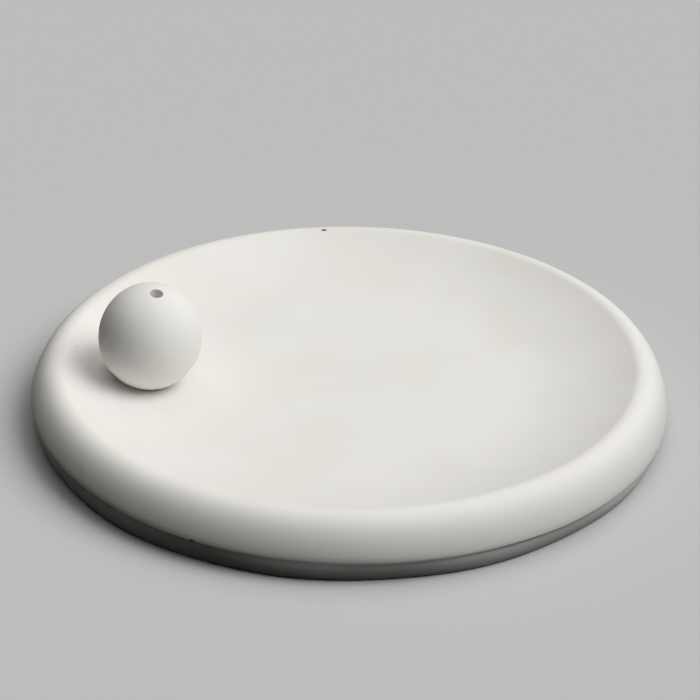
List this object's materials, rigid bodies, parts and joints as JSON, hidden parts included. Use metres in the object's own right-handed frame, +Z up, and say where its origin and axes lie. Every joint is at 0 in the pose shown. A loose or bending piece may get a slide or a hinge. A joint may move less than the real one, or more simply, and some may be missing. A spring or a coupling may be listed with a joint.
{
  "type": "incense tray",
  "caption": "Shallow round tray with a thick rolled rim and a loose ball whose small blind hole holds an incense stick over the tray.",
  "frame": {"origin": "centre of the tray's flat underside, on the surface that it stands on", "axes": "+Z up; the tray's front, which faces the picture's camera, is towards -Y and the ball stands at its left, near -X"},
  "size_m": [0.12, 0.12, 0.0266],
  "materials": {
    "tray_casting": "matte",
    "ball_casting": "matte"
  },
  "bodies": {
    "tray": {"incense_tray": "tray_casting"},
    "ball": {"stick_holder_ball": "ball_casting"}
  },
  "joints": [
    {"name": "ball_lift", "type": "slide", "parent": "tray", "child": "ball", "axis": [0, 0, 1], "range_m": [0, 0.03]}
  ]
}
